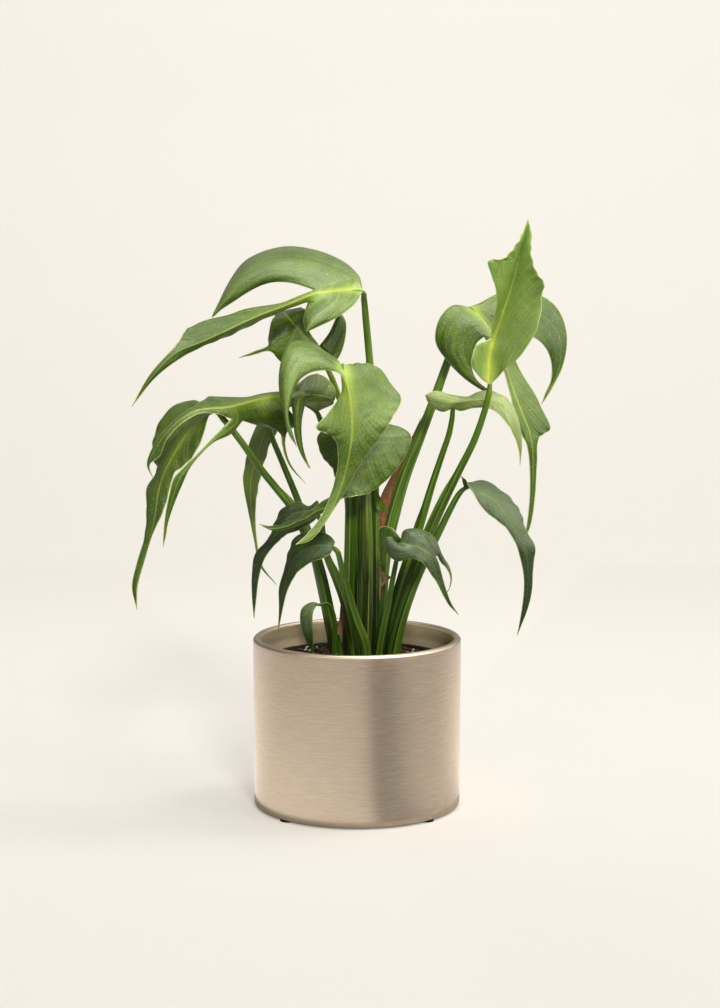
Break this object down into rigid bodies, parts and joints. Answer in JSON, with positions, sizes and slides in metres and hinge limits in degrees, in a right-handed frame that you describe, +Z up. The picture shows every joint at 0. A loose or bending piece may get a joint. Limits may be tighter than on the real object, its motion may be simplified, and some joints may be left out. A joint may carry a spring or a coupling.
{
  "type": "potted burle marx monstera",
  "caption": "Potted aroid house plant with long, deeply lobed, drooping leaves on tall stalks, in a brushed cylindrical planter.",
  "frame": {"origin": "on the planter's axis, on the surface that the planter stands on", "axes": "+Z up along the planter's axis, -Y towards the front that the picture shows, +X to the right of that front"},
  "size_m": [0.3761, 0.2043, 0.5066],
  "materials": {
    "leaf_bright": "satin light green leaf with yellow-green midrib and fine side veins",
    "leaf_mid": "satin mid green leaf with pale midrib and margin",
    "leaf_dark": "satin dark green leaf with grey sheen",
    "leaf_pale": "pale olive green leaf, under surface showing",
    "green_bract": "satin green bract with pale margin",
    "dry_sheath": "matt papery dry brown sheath",
    "brushed_metal": "champagne brushed metal, fine turned brush lines round the cylinder",
    "foot_rubber": "matt black",
    "grow_pot_plastic": "matt dark plastic",
    "potting_mix": "dark brown potting mix with bark chips and white perlite"
  },
  "bodies": {
    "root": {"leaf_top_left": "leaf_bright", "leaf_centre_front": "leaf_bright", "leaf_centre_right": "leaf_mid", "leaf_curled_back": "leaf_mid", "leaf_left_upper": "leaf_bright", "leaf_far_left": "leaf_mid", "leaf_left_back": "leaf_pale", "leaf_low_left": "leaf_dark", "leaf_low_centre": "leaf_dark", "leaf_small_inner": "leaf_dark", "leaf_right_upright": "leaf_bright", "leaf_right_back": "leaf_mid", "leaf_right_level": "leaf_pale", "leaf_right_low": "leaf_dark", "leaf_right_small": "leaf_dark", "bract_green": "green_bract", "sheath_dry_brown": "dry_sheath", "planter": "brushed_metal", "planter_foot_1": "foot_rubber", "planter_foot_2": "foot_rubber", "planter_foot_3": "foot_rubber", "planter_foot_4": "foot_rubber", "grow_pot": "grow_pot_plastic", "soil": "potting_mix"}
  },
  "joints": []
}
